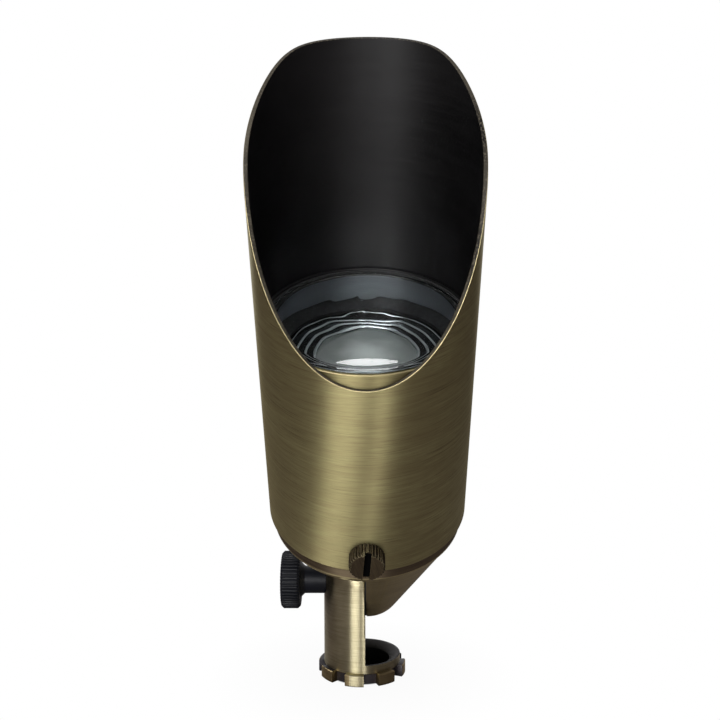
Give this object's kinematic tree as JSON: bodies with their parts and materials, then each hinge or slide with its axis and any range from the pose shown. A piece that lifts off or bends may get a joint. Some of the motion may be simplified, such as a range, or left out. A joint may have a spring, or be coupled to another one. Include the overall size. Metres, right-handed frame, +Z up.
{
  "type": "landscape spotlight",
  "caption": "Brass bullet spotlight for the garden with a scooped, sliding glare shroud, convex lens and a tilting half-round knuckle on a castellated threaded base.",
  "frame": {"origin": "centre of the threaded hole's mouth, on the base's underside", "axes": "+Z up the stem, -Y the way the head leans, +X to the right seen from the front, along the tilt axis"},
  "size_m": [0.0634, 0.0946, 0.201],
  "materials": {
    "brushed_brass": "brushed antique brass, dark patina inside",
    "dark_brass": "dark patina with a brushed face",
    "black_knob": "satin black",
    "black_rubber": "matte",
    "clear_glass": "clear",
    "mirror_coat": "facetted mirror coat",
    "steel": "satin",
    "ceramic": "unglazed",
    "lead_sleeve": "silicone sleeve"
  },
  "bodies": {
    "base": {"stem": "brushed_brass", "pivot_washer": "black_rubber"},
    "tilt_knob": {"tilt_knob": "black_knob", "tilt_screw": "steel"},
    "head": {"rear_cone": "brushed_brass", "cone_seal": "black_rubber", "cone_screws": "steel", "cord_grommet": "black_rubber", "housing": "brushed_brass", "lens_gasket": "black_rubber", "lens": "clear_glass", "lamp_ring": "black_rubber", "lamp_reflector": "mirror_coat", "lamp_cover": "clear_glass", "lamp_capsule": "clear_glass", "lamp_base": "ceramic", "lamp_pins": "steel", "lamp_socket": "ceramic", "socket_bracket": "steel", "socket_screws": "steel", "lamp_leads": "lead_sleeve"},
    "shroud_rings": {"shroud_o_rings": "black_rubber"},
    "shroud": {"shroud": "brushed_brass"},
    "shroud_screw": {"shroud_screw": "dark_brass"}
  },
  "joints": [
    {"name": "head_tilt", "type": "hinge", "parent": "base", "child": "head", "pos_m": [0.00165, 0, 0.0324], "axis": [1, 0, 0], "range_deg": [-120, 60]},
    {"name": "tilt_knob_turn", "type": "hinge", "parent": "base", "child": "tilt_knob", "pos_m": [-0.0132, 0, 0.0324], "axis": [1, 0, 0], "continuous": true},
    {"name": "shroud_turn", "type": "hinge", "parent": "head", "child": "shroud_rings", "pos_m": [0.002, 0, 0.0324], "axis": [0, -0.5, 0.866], "continuous": true},
    {"name": "shroud_slide", "type": "slide", "parent": "shroud_rings", "child": "shroud", "axis": [0, -0.5, 0.866], "range_m": [-0.004, 0.035]},
    {"name": "shroud_screw_turn", "type": "hinge", "parent": "shroud", "child": "shroud_screw", "pos_m": [0.002, -0.04925, 0.0542], "axis": [0, -0.866, -0.5], "continuous": true}
  ]
}
